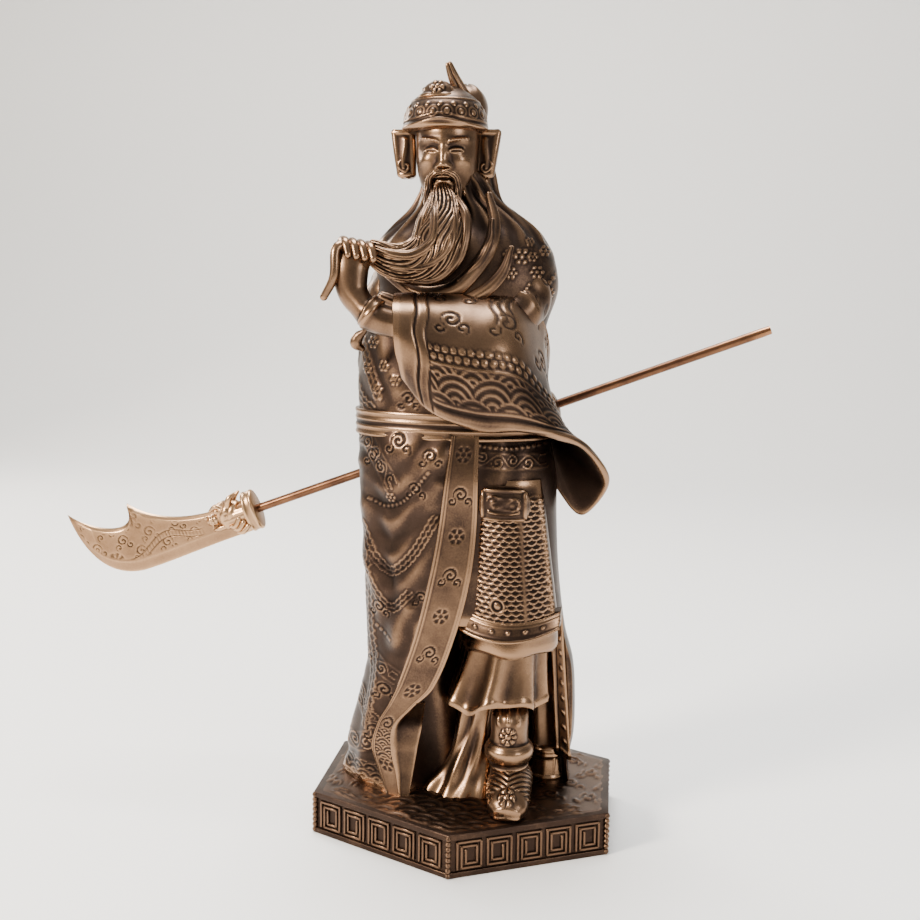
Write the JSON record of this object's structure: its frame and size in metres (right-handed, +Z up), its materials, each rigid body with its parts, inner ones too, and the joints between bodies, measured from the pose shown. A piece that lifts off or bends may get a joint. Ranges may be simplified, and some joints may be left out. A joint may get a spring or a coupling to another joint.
{
  "type": "guan yu statue",
  "caption": "Cast bronze robed warrior with a long beard and a glaive held behind the back, standing on a hexagonal fret-banded plinth.",
  "frame": {"origin": "centre of the plinth's underside", "axes": "+Z up, -Y the way the head faces (towards the plinth's front corner), +X towards the glaive's butt"},
  "size_m": [0.4836, 0.18, 0.4808],
  "materials": {
    "plinth_bronze": "cast, antique brown patina rubbed back on the edges",
    "figure_bronze": "cast, antique bronze patina with bright rubbed high places",
    "blade_bronze": "cast, light antique bronze with darkened engraving",
    "shaft_bronze": "drawn rod, lacquered antique bronze"
  },
  "bodies": {
    "root": {"plinth": "plinth_bronze", "figure": "figure_bronze", "glaive_blade": "blade_bronze", "glaive_shaft": "shaft_bronze"}
  },
  "joints": []
}
